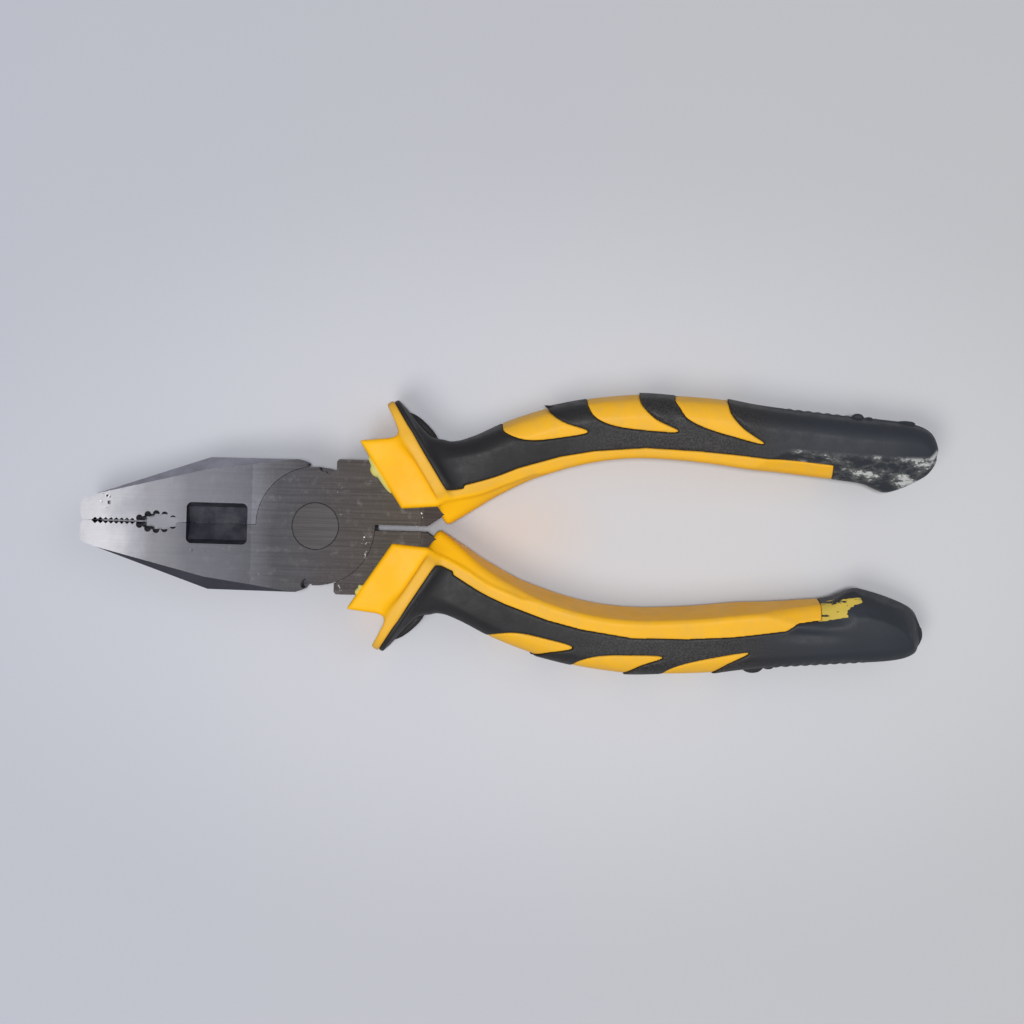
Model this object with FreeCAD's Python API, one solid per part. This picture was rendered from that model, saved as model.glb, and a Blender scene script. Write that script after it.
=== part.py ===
"""Combination pliers, 8 inch class, with two-colour moulded grips.

The tool lies flat. X runs along it, from the jaw tips at -X to the handle ends at +X.
Z is the pivot axis, and the origin is where that axis meets the ground back face of the head.
Both halves are the same forging: turning one half by 180 degrees about the long axis at mid
thickness gives the other. Everything is therefore modelled once, for the half that has the lower
jaw, the front lap and the upper handle, and the other half is the turned copy.
Lengths are millimetres and angles are degrees.
"""
import FreeCAD
import Part
import math
import os

# ---------------------------------------------------------------- driving dimensions
HEAD_T = 12.0                 # thickness of the head at the joint
MID = HEAD_T / 2              # height of the plane that the two laps share
TIP_X = -55.4                 # jaw tips
TIP_T = 10.2                  # thickness at the jaw tips
TIP_HALF = 5.1                # half width of the closed tips
CORNER_X = -25.5              # where the head reaches its full width
HEAD_HALF = 15.6              # half width of the head
LAP_R = 13.95                 # radius of the round lap
SHOULDER_R = 14.05            # radius of the shoulders that turn around the lap
LAP_GAP = 0.02                # each lap stays this far from the shared plane
CLOSE_GAP = 0.05              # each jaw stays this far from the closing plane
STOP_X = 4.7                  # front shoulder of the neck, which stops the opening

RIVET_R = 4.0                 # shank of the rivet
RIVET_HEAD_R = 5.6            # rim of its countersunk heads
RIVET_HEAD_H = 2.0            # depth of the countersinks
RIM_BREAK = 0.15              # broken edge around each rivet head
RIVET_PLAY = 0.05             # running clearance in the turning half

TOOTH_PITCH = 1.26            # fine teeth of the flat gripping zone
TOOTH_COUNT = 8
TEETH_END_X = -42.5           # where the flat zone meets the pipe grip
PIPE_HALF = 5.0               # half length of the pipe grip
PIPE_DEPTH = 1.9              # its depth in each jaw, without the scallops
PIPE_SCALLOP_R = 0.8
PIPE_SCALLOP_PITCH = 1.98
CUTTER_X = (-30.4, -16.0)     # ends of the cutter pocket
CUTTER_HALF = 4.85            # half width of the pocket
CUTTER_CORNER_R = 1.3         # its corners in plan
CUTTER_WALL = 0.6             # depth of its upright wall, before it slopes in
CUTTER_SHELF = (1.0, 2.35)    # the slope ends this far in from the wall, and this far above mid thickness
CUTTER_EDGE = 0.12            # half thickness of the cutting edge

NECK_GAP = 0.7                # each neck stays this far from the long axis
NECK_END_X = 26.0
NECK_STEP_R = 25.0            # the ground faces end here, around the pivot
NECK_T = 9.4                  # thickness past that step
TANG_T = 8.0

SLEEVE_TILT = 31.5            # direction of the sleeve's front part, above the long axis
SLEEVE_ORIGIN = (28.4, 13.0)  # where the guard's crest crosses the neck, as drawn
COLLAR_T = 15.0
COLLAR_EDGE_R = 1.2
GUARD_T = 2.2                 # thickness of the yellow guard plate
GUARD_REACH = (-9.6, 20.0)    # its inner and outer ends, across the sleeve
GUARD_HALF_Z = 9.6
GUARD_TAPER = 0.012           # share of its height lost for each millimetre outward
GUARD_FULLNESS = 0.8          # 1 is an ellipse, and less is boxier
BACKING_T = 1.1               # black plate behind the guard
BACKING_INSET = 0.4           # its rim stays this far inside the guard's
HOOD_HALF_Z = 6.2
ROLL = 13.0                   # the grips are rolled this much about the long axis
SKIN = 2.0                    # depth of the yellow strip and of the inlay pads

HANDLE_SPREAD = 0.7           # both handles are set outward by this much about the pivot
GRIP_SEAT = 0.6               # both grips sit this much nearer to the pivot than they are drawn
LOWER_SEAT = 2.3              # the second grip is pushed this much further along its sleeve

LONG = 400.0                  # longer than anything here


# ---------------------------------------------------------------- small helpers
def vec(x, y, z=0.0):
    return FreeCAD.Vector(x, y, z)


def prism(points, z0, z1):
    """Solid over a polygon, from z0 to z1."""
    wire = Part.makePolygon([vec(x, y, z0) for x, y in points + points[:1]])
    return Part.Face(wire).extrude(vec(0, 0, z1 - z0))


def cylinder(x, y, r, z0, z1):
    return Part.makeCylinder(r, z1 - z0, vec(x, y, z0))


def spline_edge(points):
    curve = Part.BSplineCurve()
    curve.interpolate([vec(x, y) for x, y in points])
    return curve.toShape()


def line_edge(a, b):
    return Part.LineSegment(vec(*a), vec(*b)).toShape()


def half_turn(shape):
    """The shape turned by 180 degrees about the long axis at mid thickness."""
    turned = shape.copy()
    turned.rotate(vec(0, 0, MID), vec(1, 0, 0), 180)
    return turned


def swing(point, degrees):
    """A plan point turned about the pivot."""
    a = math.radians(degrees)
    x, y = point
    return (x * math.cos(a) - y * math.sin(a), x * math.sin(a) + y * math.cos(a))


def sleeve_point(s, t):
    """Plan point at s along the sleeve's front part and t across it, outward."""
    a = math.radians(SLEEVE_TILT)
    x = SLEEVE_ORIGIN[0] + s * math.cos(a) - t * math.sin(a)
    y = SLEEVE_ORIGIN[1] + s * math.sin(a) + t * math.cos(a)
    return (x, y)


# ---------------------------------------------------------------- forged half
JAW_OUTLINE = [
    (TIP_X + 0.6, -CLOSE_GAP),
    (TIP_X, -1.0),
    (TIP_X, -TIP_HALF + 0.6),
    (TIP_X + 0.7, -TIP_HALF - 0.1),
    (CORNER_X, -HEAD_HALF),
    (-4.3, -HEAD_HALF),
    (-2.9, -15.1),
    (-2.2, -14.0),
    (-1.5, -7.0),
    (-8.0, -CLOSE_GAP),
]
FACET_LINE = [(-52.6, -5.3), (-25.9, -12.4), (-6.0, -15.5)]
FACET_ANGLE = 50.0            # slope of the facets below the ground face
FACET_OVERRUN = 25.0
# (x, y, width) along the middle of the tang, from the neck to its end
TANG_STATIONS = [
    (38.0, 13.6, 9.8),
    (47.0, 18.0, 8.6),
    (58.0, 21.6, 7.4),
    (77.0, 24.2, 6.8),
    (95.0, 23.2, 6.4),
    (115.0, 20.4, 6.0),
    (132.0, 18.4, 5.4),
]


def facet_tool(start, end):
    """Removes the ground face's outer corner beyond the plan line from start to end."""
    dx, dy = end[0] - start[0], end[1] - start[1]
    length = math.hypot(dx, dy)
    along = vec(dx / length, dy / length)
    out = vec(dy / length, -dx / length)
    origin = vec(start[0], start[1], HEAD_T) - along * FACET_OVERRUN
    fall = math.tan(math.radians(FACET_ANGLE)) * HEAD_T
    section = [
        origin,
        origin + out * HEAD_T - vec(0, 0, fall),
        origin + out * HEAD_T + vec(0, 0, HEAD_T),
        origin + vec(0, 0, HEAD_T),
    ]
    wire = Part.makePolygon(section + section[:1])
    return Part.Face(wire).extrude(along * (length + 2 * FACET_OVERRUN))


def jaw_facets():
    """The facets along the jaw's outer edge, front and back. They meet at the widest place."""
    near_tip, corner, near_joint = FACET_LINE
    front = facet_tool(near_tip, corner).fuse(facet_tool(corner, near_joint))
    return front.fuse(front.mirror(vec(0, 0, MID), vec(0, 0, 1)))


def jaw_taper():
    """Wedges that thin the jaw from the joint to its tip, front and back."""
    drop = (HEAD_T - TIP_T) / 2
    start = -SHOULDER_R - 1.0
    end = TIP_X - 1.0
    depth = drop * (start - end) / (start - TIP_X)
    profile = [
        vec(start, -40, HEAD_T),
        vec(end, -40, HEAD_T - depth),
        vec(end, -40, HEAD_T + 3),
        vec(start, -40, HEAD_T + 3),
    ]
    wire = Part.makePolygon(profile + profile[:1])
    wedge = Part.Face(wire).extrude(vec(0, 80, 0))
    return wedge.fuse(wedge.mirror(vec(0, 0, MID), vec(0, 0, 1)))


def teeth_tool():
    """Removes the fine teeth's gaps, up to the closing plane, across the jaw."""
    crest, root = -0.22, -0.78
    start = TEETH_END_X - TOOTH_COUNT * TOOTH_PITCH
    points = [(start - 0.2, 0.5), (start - 0.2, -CLOSE_GAP)]
    for i in range(TOOTH_COUNT):
        x = start + i * TOOTH_PITCH
        points += [(x, crest), (x + TOOTH_PITCH / 2, root)]
    points += [(TEETH_END_X, crest), (TEETH_END_X + 0.3, crest), (TEETH_END_X + 0.3, 0.5)]
    return prism(points, -1, HEAD_T + 1)


def pipe_grip_tool():
    """The oval pipe grip's half in this jaw, with its scallops."""
    middle = TEETH_END_X + PIPE_HALF
    radius = (PIPE_HALF**2 + PIPE_DEPTH**2) / (2 * PIPE_DEPTH)
    centre_y = radius - PIPE_DEPTH
    tool = cylinder(middle, centre_y, radius, -1, HEAD_T + 1)
    for i in (-2, -1, 0, 1, 2):
        x = middle + i * PIPE_SCALLOP_PITCH
        y = centre_y - math.sqrt(radius**2 - (x - middle) ** 2)
        tool = tool.fuse(cylinder(x, y, PIPE_SCALLOP_R, -1, HEAD_T + 1))
    keep = Part.makeBox(2 * PIPE_HALF, 6, HEAD_T + 2, vec(TEETH_END_X, -5.5, -1))
    return tool.common(keep)


def cutter_tool():
    """The cutter's pockets, front and back, that leave a sharp edge at mid thickness."""
    x0, x1 = CUTTER_X
    wall_y, edge_y = -CUTTER_HALF, -CLOSE_GAP
    profile = [
        vec(x0, wall_y, HEAD_T + 1),
        vec(x0, wall_y, HEAD_T - CUTTER_WALL),
        vec(x0, wall_y + CUTTER_SHELF[0], MID + CUTTER_SHELF[1]),
        vec(x0, edge_y, MID + CUTTER_EDGE),
        vec(x0, 1.0, MID + CUTTER_EDGE),
        vec(x0, 1.0, HEAD_T + 1),
    ]
    wire = Part.makePolygon(profile + profile[:1])
    pocket = Part.Face(wire).extrude(vec(x1 - x0, 0, 0))
    rounded = Part.makeBox(x1 - x0, 2 * CUTTER_HALF, HEAD_T, vec(x0, -CUTTER_HALF, MID))
    uprights = [
        e for e in rounded.Edges
        if abs(e.Vertexes[0].Point.x - e.Vertexes[-1].Point.x) < 1e-6
        and abs(e.Vertexes[0].Point.y - e.Vertexes[-1].Point.y) < 1e-6
    ]
    pocket = pocket.common(rounded.makeFillet(CUTTER_CORNER_R, uprights))
    return pocket.fuse(pocket.mirror(vec(0, 0, MID), vec(0, 0, 1)))


def tang_outline():
    """Closed plan wire of the neck and the tang."""
    outer, inner = [], []
    for i, (x, y, width) in enumerate(TANG_STATIONS):
        before = TANG_STATIONS[max(i - 1, 0)]
        after = TANG_STATIONS[min(i + 1, len(TANG_STATIONS) - 1)]
        dx, dy = after[0] - before[0], after[1] - before[1]
        length = math.hypot(dx, dy)
        nx, ny = -dy / length * width / 2, dx / length * width / 2
        outer.append(swing((x + nx, y + ny), HANDLE_SPREAD))
        inner.append(swing((x - nx, y - ny), HANDLE_SPREAD))
    neck_top = (11.0, 15.9)
    outer = [neck_top, (20.0, 15.6), (28.0, 16.2)] + outer
    inner = [(NECK_END_X, NECK_GAP), (30.0, 3.4)] + inner
    edges = [
        line_edge((STOP_X, 11.0), (STOP_X, 15.3)),
        line_edge((STOP_X, 15.3), (STOP_X + 0.5, 15.9)),
        line_edge((STOP_X + 0.5, 15.9), neck_top),
        spline_edge(outer),
        line_edge(outer[-1], inner[-1]),
        spline_edge(inner[::-1]),
        line_edge((NECK_END_X, NECK_GAP), (12.0, NECK_GAP)),
        line_edge((12.0, NECK_GAP), (STOP_X, 11.0)),
    ]
    return Part.Wire(Part.__sortEdges__(edges))


def neck_and_tang():
    """Full thickness up to the step, then the thinner neck, then the tang."""
    face = Part.Face(tang_outline())
    blank = face.extrude(vec(0, 0, HEAD_T))

    def slab(thickness, inside_r):
        low = (HEAD_T - thickness) / 2
        return cylinder(0, 0, inside_r, low, HEAD_T - low)

    neck = blank.common(slab(HEAD_T, NECK_STEP_R))
    neck = neck.fuse(blank.common(slab(NECK_T, NECK_STEP_R + 10)))
    return neck.fuse(blank.common(slab(TANG_T, LONG)))


def wire_notches():
    """Shear notches in the rim of the front lap, beside both shoulders."""
    z0, z1 = MID - 1, HEAD_T + 1
    beside_neck = cylinder(1.5, 13.7, 0.9, z0, z1).fuse(cylinder(2.9, 13.5, 1.1, z0, z1))
    beside_jaw = cylinder(-1.8, -13.7, 1.3, z0, z1)
    return beside_neck.fuse(beside_jaw)


def rivet_body(play):
    """Shank and two countersunk heads, grown by play on every side that turns."""
    r, rim = RIVET_R + play, RIVET_HEAD_R + play
    shank = cylinder(0, 0, r, 0, HEAD_T)
    back = Part.makeCone(rim, r, RIVET_HEAD_H, vec(0, 0, 0))
    front = Part.makeCone(r, rim, RIVET_HEAD_H, vec(0, 0, HEAD_T - RIVET_HEAD_H))
    return shank.fuse(back).fuse(front).removeSplitter()


def finished_rivet():
    """The rivet with its two rims broken, which shows as a fine ring on the ground faces."""
    body = rivet_body(0.0)
    circles = [e for e in body.Edges if isinstance(e.Curve, Part.Circle)]
    rims = [e for e in circles if e.Curve.Radius > RIVET_HEAD_R - 0.01]
    return body.makeChamfer(RIM_BREAK, rims)


def forged_half(rivet_play):
    """Lower jaw, front lap and upper handle in one forging."""
    jaw = prism(JAW_OUTLINE, 0, HEAD_T).cut(jaw_facets()).cut(jaw_taper())
    body = jaw.fuse(neck_and_tang())
    body = body.cut(cylinder(0, 0, SHOULDER_R, -1, MID + LAP_GAP))
    body = body.fuse(cylinder(0, 0, LAP_R, MID + LAP_GAP, HEAD_T))
    for tool in (teeth_tool(), pipe_grip_tool(), cutter_tool(), wire_notches()):
        body = body.cut(tool)
    return body.cut(rivet_body(rivet_play)).removeSplitter()


# ---------------------------------------------------------------- moulded grip
# (inner plan point, outer plan point, half thickness, share of the roll)
GRIP_STATIONS = [
    ((31.0, 1.9), (20.9, 19.6), 7.6, 0.0),
    ((36.3, 4.4), (28.0, 21.2), 7.5, 0.15),
    ((41.0, 7.6), (35.2, 22.0), 7.2, 0.6),
    ((46.5, 10.6), (42.5, 24.5), 6.9, 1.0),
    ((55.0, 14.0), (52.0, 28.2), 6.8, 1.0),
    ((66.0, 16.5), (64.3, 31.0), 6.9, 1.0),
    ((78.0, 17.4), (78.0, 32.2), 7.0, 1.0),
    ((91.0, 16.8), (92.0, 31.2), 7.0, 1.0),
    ((105.7, 15.1), (107.2, 29.5), 6.9, 1.0),
    ((118.0, 13.6), (119.8, 28.0), 6.8, 1.0),
    ((127.5, 12.2), (129.5, 27.0), 6.8, 1.0),
    ((135.3, 10.3), (137.5, 26.4), 6.6, 1.0),
    ((141.6, 12.4), (143.2, 25.6), 5.8, 1.0),
    ((146.0, 16.0), (146.6, 24.0), 4.2, 1.0),
    ((147.5, 18.0), (147.8, 22.6), 2.4, 1.0),
]
STRIP_OUTLINE = [
    (28.0, 0.0), (31.4, 8.3), (36.7, 9.6), (48.0, 14.8), (58.0, 18.6), (66.0, 20.3),
    (78.0, 21.5), (91.0, 21.1), (101.0, 19.9), (114.0, 18.2), (116.5, 16.6), (123.0, 16.2),
    (123.0, 8.0), (90.0, 8.0), (60.0, 6.0), (40.0, -2.0),
]
# leading, belly and tip of each pad's boundary, seen square to the grip's own face
PAD_OUTLINES = [
    [(40.8, 24.6), (43.4, 23.6), (47.0, 22.2), (54.0, 22.4), (64.0, 24.7), (58.5, 26.9), (53.0, 30.4)],
    [(62.5, 31.6), (64.1, 28.6), (68.4, 26.4), (76.0, 25.8), (85.2, 25.9), (80.3, 28.4), (76.0, 33.0)],
    [(84.6, 32.8), (86.2, 29.6), (90.6, 27.2), (97.5, 25.2), (105.6, 23.7), (100.7, 27.2), (96.2, 32.2)],
]
# corners of the collar and of the hood, along and across the sleeve
COLLAR_CORNERS = [(-11.5, -3.0), (-11.5, 15.8), (-1.0, 11.8), (-1.0, -8.6), (-5.0, -6.0)]
HOOD_CORNERS = [(-1.0, -6.0), (-1.0, 19.4), (0.6, 19.0), (2.2, 14.6), (3.4, 10.8), (4.6, 7.0), (7.5, 3.0)]
CORE_STATIONS = 12            # the core ends at this station, inside the overmould
QUADRANT_POINTS = 4           # points of a cross-section between two of its corners
GUARD_POINTS = 16
SECTION_POWER = 2.5           # 2 is an ellipse, and more is boxier


def grip_section(station, inset=0.0):
    """Closed, rolled cross-section wire at one station."""
    (ix, iy), (ox, oy), half_z, share = station
    dx, dy = ox - ix, oy - iy
    width = math.hypot(dx, dy)
    out = vec(dx / width, dy / width, 0)
    along = vec(dy / width, -dx / width, 0)
    centre = vec((ix + ox) / 2, (iy + oy) / 2, MID)
    half_u, half_v = width / 2 - inset, half_z - inset
    roll = FreeCAD.Rotation(along, ROLL * share)
    points = []
    for i in range(4 * QUADRANT_POINTS + 1):
        a = math.pi / 4 + math.pi / 2 * i / QUADRANT_POINTS
        c, s = math.cos(a), math.sin(a)
        u = half_u * math.copysign(abs(c) ** (2 / SECTION_POWER), c)
        v = half_v * math.copysign(abs(s) ** (2 / SECTION_POWER), s)
        points.append(centre + roll.multVec(out * u + vec(0, 0, v)))
    curve = Part.BSplineCurve()
    curve.interpolate(Points=points[:-1], PeriodicFlag=True)
    corners = [curve.parameter(points[i * QUADRANT_POINTS]) for i in range(1, 4)]
    first, last = curve.FirstParameter, curve.LastParameter
    spans = zip([first] + corners, corners + [last])
    return Part.Wire([curve.toShape(start, end) for start, end in spans])


def grip_body(stations, inset=0.0):
    """The handle's moulded body without collar and guard."""
    sections = [grip_section(s, inset) for s in stations]
    return Part.makeLoft(sections, True, False)


def rolled_prism(outline):
    """A plan outline carried through the whole thickness along the rolled grip's normal."""
    a = math.radians(ROLL)
    normal = vec(0, -math.sin(a), math.cos(a))
    reach = 20.0
    base = [vec(x, y, MID) - normal * reach for x, y in outline + outline[:1]]
    return Part.Face(Part.makePolygon(base)).extrude(normal * (2 * reach))


def guard_plate(s0, s1, grow=0.0):
    """The guard: an oval plate square to the sleeve, from s0 to s1 along it."""
    inner_t, outer_t = GUARD_REACH[0] - grow, GUARD_REACH[1] + grow
    half_z = GUARD_HALF_Z + grow
    middle_t, half_t = (outer_t + inner_t) / 2, (outer_t - inner_t) / 2
    points = []
    for i in range(GUARD_POINTS):
        a = 2 * math.pi * i / GUARD_POINTS
        c, s = math.cos(a), math.sin(a)
        t = middle_t + half_t * math.copysign(abs(c) ** GUARD_FULLNESS, c)
        rise = half_z * math.copysign(abs(s) ** GUARD_FULLNESS, s)
        z = MID + rise * (1.0 - GUARD_TAPER * (t - inner_t))
        x, y = sleeve_point(s0, t)
        points.append(vec(x, y, z))
    curve = Part.BSplineCurve()
    curve.interpolate(Points=points, PeriodicFlag=True)
    x0, y0 = sleeve_point(s0, 0)
    x1, y1 = sleeve_point(s1, 0)
    return Part.Face(Part.Wire(curve.toShape())).extrude(vec(x1 - x0, y1 - y0, 0))


def collar():
    """The saddle that covers the neck's front, back and outer side."""
    outline = [sleeve_point(s, t) for s, t in COLLAR_CORNERS]
    low = MID - COLLAR_T / 2
    block = prism(outline, low, low + COLLAR_T)
    outer_edges = [
        e for e in block.Edges
        if all(abs(v.Point.z - low) < 1e-6 or abs(v.Point.z - low - COLLAR_T) < 1e-6 for v in e.Vertexes)
        and abs(e.Vertexes[0].Point.z - e.Vertexes[-1].Point.z) < 1e-6
    ]
    return block.makeFillet(COLLAR_EDGE_R, outer_edges)


def hood():
    """The black web that props the guard from behind."""
    outline = [sleeve_point(s, t) for s, t in HOOD_CORNERS]
    return prism(outline, MID - HOOD_HALF_Z, MID + HOOD_HALF_Z)


def grip_pieces():
    """The yellow core with strip and pads, and the black overmould around it."""
    body = grip_body(GRIP_STATIONS)
    core = grip_body(GRIP_STATIONS[:CORE_STATIONS], SKIN)
    for outline in [STRIP_OUTLINE] + PAD_OUTLINES:
        core = core.fuse(body.common(rolled_prism(outline)))
    core = core.fuse(collar()).fuse(guard_plate(-GUARD_T, 0))
    black = body.fuse(guard_plate(0, BACKING_T, -BACKING_INSET)).fuse(hood())
    return {"grip_core": core, "grip_overmould": black.cut(core)}


def largest_solid(shape):
    return max(shape.Solids, key=lambda s: s.Volume)


def placed_grip(shape, seat):
    """The grip in its seat, pushed on by this much more along its sleeve, and swung out with its handle."""
    a = math.radians(SLEEVE_TILT)
    moved = shape.copy()
    moved.translate(vec(-GRIP_SEAT - seat * math.cos(a), -seat * math.sin(a), 0))
    moved.rotate(vec(0, 0, 0), vec(0, 0, 1), HANDLE_SPREAD)
    return moved


# ---------------------------------------------------------------- assembly
def build():
    """Every piece of the tool, by name."""
    pieces = {"pivot_rivet": finished_rivet()}
    front_half = forged_half(0.0)
    back_half = forged_half(RIVET_PLAY)
    pieces["front_lap_lever"] = front_half
    pieces["back_lap_lever"] = half_turn(back_half)
    for name, shape in grip_pieces().items():
        upper = placed_grip(shape, 0.0).cut(front_half)
        lower = placed_grip(shape, LOWER_SEAT).cut(back_half)
        pieces["upper_" + name] = largest_solid(upper)
        pieces["lower_" + name] = half_turn(largest_solid(lower))
    return pieces


def main():
    os.makedirs("parts", exist_ok=True)
    for name, shape in sorted(build().items()):
        shape.exportStep(f"parts/{name}.step")
        print(f"{name}: {len(shape.Solids)} solid(s), valid {shape.isValid()}, {shape.Volume:.0f} mm3")


main()
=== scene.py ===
"""Combination pliers: the looks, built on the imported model.

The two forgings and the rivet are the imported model's own nodes with new materials. The four grip
pieces are replaced by finer ones. Their shape is a distance field, in millimetres, made of plan
outlines carried through the grip's thickness with soft edges, and a net of quads is laid over it.
Both grips are the same moulding. It is made once, in the upper handle's place, and the lower one is
turned by 180 degrees about the long axis at mid thickness.
"""
import math
import bpy
import numpy as np
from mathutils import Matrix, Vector


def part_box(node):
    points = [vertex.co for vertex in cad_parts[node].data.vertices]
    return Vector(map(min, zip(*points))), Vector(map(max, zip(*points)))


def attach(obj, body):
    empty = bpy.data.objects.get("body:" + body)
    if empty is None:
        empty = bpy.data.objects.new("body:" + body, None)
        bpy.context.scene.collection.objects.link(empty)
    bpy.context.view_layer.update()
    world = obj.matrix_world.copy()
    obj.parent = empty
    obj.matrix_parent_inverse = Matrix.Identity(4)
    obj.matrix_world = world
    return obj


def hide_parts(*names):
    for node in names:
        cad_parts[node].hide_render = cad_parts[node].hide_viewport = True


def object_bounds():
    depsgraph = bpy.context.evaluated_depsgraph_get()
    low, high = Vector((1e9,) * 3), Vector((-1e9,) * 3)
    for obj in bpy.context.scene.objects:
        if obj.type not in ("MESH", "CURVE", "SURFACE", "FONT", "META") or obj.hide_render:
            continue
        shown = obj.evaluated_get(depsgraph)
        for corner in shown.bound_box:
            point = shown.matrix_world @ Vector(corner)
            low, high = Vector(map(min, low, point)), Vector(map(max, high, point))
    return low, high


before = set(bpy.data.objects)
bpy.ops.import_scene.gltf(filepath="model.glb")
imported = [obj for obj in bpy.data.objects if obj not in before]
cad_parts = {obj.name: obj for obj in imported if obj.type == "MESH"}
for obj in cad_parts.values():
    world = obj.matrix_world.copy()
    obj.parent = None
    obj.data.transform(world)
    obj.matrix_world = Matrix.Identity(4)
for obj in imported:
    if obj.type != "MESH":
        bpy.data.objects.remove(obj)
CAD_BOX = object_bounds()

MM = 0.001
MID_Z = (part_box("front_lap_lever")[0][2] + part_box("front_lap_lever")[1][2]) / 2 / MM

# ---------------------------------------------------------------- grip sizes, millimetres and degrees
VOXEL = 0.32                  # spacing of the distance field
PLAN_STEP = 0.25              # spacing of the plan's distance maps
FIELD_LOW = (7.0, -1.0, -10.6)
FIELD_HIGH = (149.5, 35.0, 10.6)
HANDLE_SPREAD = 0.7           # the upper handle is set outward by this much about the pivot
LOWER_SPREAD = 1.05           # and the lower one by this much
GRIP_SEAT = 0.6               # both grips sit this much nearer to the pivot than they are drawn
LOWER_SEAT = 2.3              # the lower grip is pushed this much further along its sleeve
SLEEVE_TILT = 31.5            # direction of the sleeve, above the long axis
SLEEVE_ORIGIN = (28.4, 13.0)  # where the guard's plane crosses the sleeve
ROLL = 13.5                   # roll of the hand-hold about the long axis
ROLL_X = (30.0, 45.0)         # the roll builds up between these places
GUARD = (-2.4, 0.3)           # front and back of the guard's yellow plate, along the sleeve
GUARD_TAPER = 0.8             # the plate is thinner by this much at its outer end
BACKING = 1.4                 # how far the black backing reaches behind the plate
COLLAR_HALF = 7.5             # half thickness of the collar
STRIP_END = 122.4
SHOT_GAP = 0.06               # the overmould stands off the yellow by this much
CORE_DROP = 0.05              # and the yellow lies this much below the hand-hold's surface
CROWN = (0.012, 0.006)        # how fast the hand-hold falls off outward and inward, per square millimetre
BULGE = (0.022, 0.008)        # and how fast its outer and inner sides fall away with height
RIB_PITCH = 2.3               # ribs at the outer edge of the handle's end
RIB_DEPTH = 0.13              # half their depth
RIBS = (110.0, 135.0)

# middle of the grip: (x, y)
MIDLINE = [
    (5, 10.5), (20, 11.5), (30, 12.2), (38, 14.9), (46, 17.9), (55, 21.0), (66, 23.6), (78, 24.8),
    (91, 24.1), (106, 22.3), (120, 20.8), (135, 19.0), (150, 18.8),
]
# half thickness along the grip: (x, height)
HEIGHTS = [(5, 7.4), (30, 7.4), (46, 7.1), (60, 7.0), (110, 7.0), (128, 7.2), (138, 6.9), (148, 5.4)]

BODY_OUTLINE = [
    (20.0, 15.0), (29.0, 20.2), (32.0, 20.3), (38.0, 22.2), (45.0, 25.3), (53.0, 28.1), (63.7, 30.9),
    (76.8, 32.3), (86.0, 32.1), (96.4, 31.4), (107.0, 29.9), (126.9, 27.9), (140.0, 26.6),
    (145.2, 24.9), (147.3, 21.8), (146.9, 18.6), (144.6, 15.3), (140.2, 12.2), (136.2, 10.4),
    (134.0, 10.3), (129.5, 12.2), (123.6, 13.2), (105.7, 15.3), (91.3, 17.2), (77.0, 18.0),
    (65.2, 16.7), (53.3, 13.2), (43.8, 8.5), (38.0, 4.7), (33.4, 1.7), (31.6, 0.9), (30.3, 2.2),
    (28.8, 5.2), (24.0, 7.5),
]
# the strip's boundary on the front and, with a step near its end, on the back
STRIP_START = [(24.0, 8.9), (32.2, 8.9), (35.4, 9.8), (35.5, 10.6), (41.0, 12.9), (48.0, 15.8)]
STRIP_FRONT = [(58.0, 18.9), (66.0, 20.5), (78.0, 21.7), (91.0, 21.3), (101.0, 20.6), (STRIP_END, 18.4)]
STRIP_BACK = [(58.0, 18.9), (66.0, 20.5), (78.0, 21.7), (91.0, 21.1), (101.0, 20.1), (114.2, 18.0),
              (116.6, 16.2), (STRIP_END, 15.4)]
STRIP_INNER = [(STRIP_END, 4.0), (60.0, 0.0), (24.0, -4.0)]
# the boundaries lean inward on the front and outward on the back, by this much per millimetre of height
LEAN = [(0, 0.0), (48, 0.0), (62, 0.05), (78, 0.11), (105, 0.18), (150, 0.18)]
# the tail's inner corner lies this much further on at the front, per millimetre of height
TAIL_SHEAR = 0.32

# each pad: its lead edge, belly, tip and tail edge
PAD_OUTLINES = [
    [(43.4, 30.0), (43.9, 25.2), (45.8, 23.6), (50.8, 22.6), (57.5, 23.4), (64.4, 25.1), (58.2, 27.2),
     (53.3, 30.0), (51.0, 33.0)],
    [(62.6, 34.0), (64.4, 30.4), (66.2, 28.4), (70.2, 26.8), (77.0, 26.0), (85.6, 25.9), (80.4, 28.5),
     (76.8, 31.6), (75.0, 34.5)],
    [(84.2, 34.0), (85.9, 31.0), (87.8, 28.9), (91.8, 27.0), (98.6, 25.1), (105.8, 23.6), (101.0, 26.9),
     (97.8, 30.2), (96.0, 34.0)],
]
# plan of the collar around the neck
COLLAR_OUTLINE = [(10.7, 20.3), (22.0, 21.4), (32.0, 6.6), (29.2, 5.0), (20.8, 4.4)]
# plan of the concave hood between the guard and the hand-hold
HOOD_OUTLINE = [
    (18.0, 30.6), (19.7, 30.2), (21.0, 28.4), (22.6, 26.2), (25.2, 23.6), (28.6, 20.6), (34.0, 18.0),
    (36.0, 14.0), (31.0, 9.0), (24.0, 14.0),
]
# half outline of the guard, across the sleeve: (outward, height)
GUARD_HALF = [
    (19.9, 0.0), (19.7, 2.8), (18.6, 5.4), (15.6, 7.6), (10.0, 8.9), (4.0, 9.3), (-3.4, 9.2),
    (-6.0, 7.9), (-8.0, 5.4), (-9.4, 2.6), (-9.7, 0.0),
]
# crease between the raised band and the web that runs from the guard's inner tip
WEB_EDGE = [(20, 4.9), (29, 5.9), (31.5, 6.7), (33.8, 7.3), (36.7, 8.3), (39.2, 9.2), (44.2, 11.6),
            (52, 14.6), (60, 15.0)]
WEB_STEP = 0.55               # below that crease the surface drops by a small step, then by a slope
WEB_SLOPE = 0.42
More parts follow.
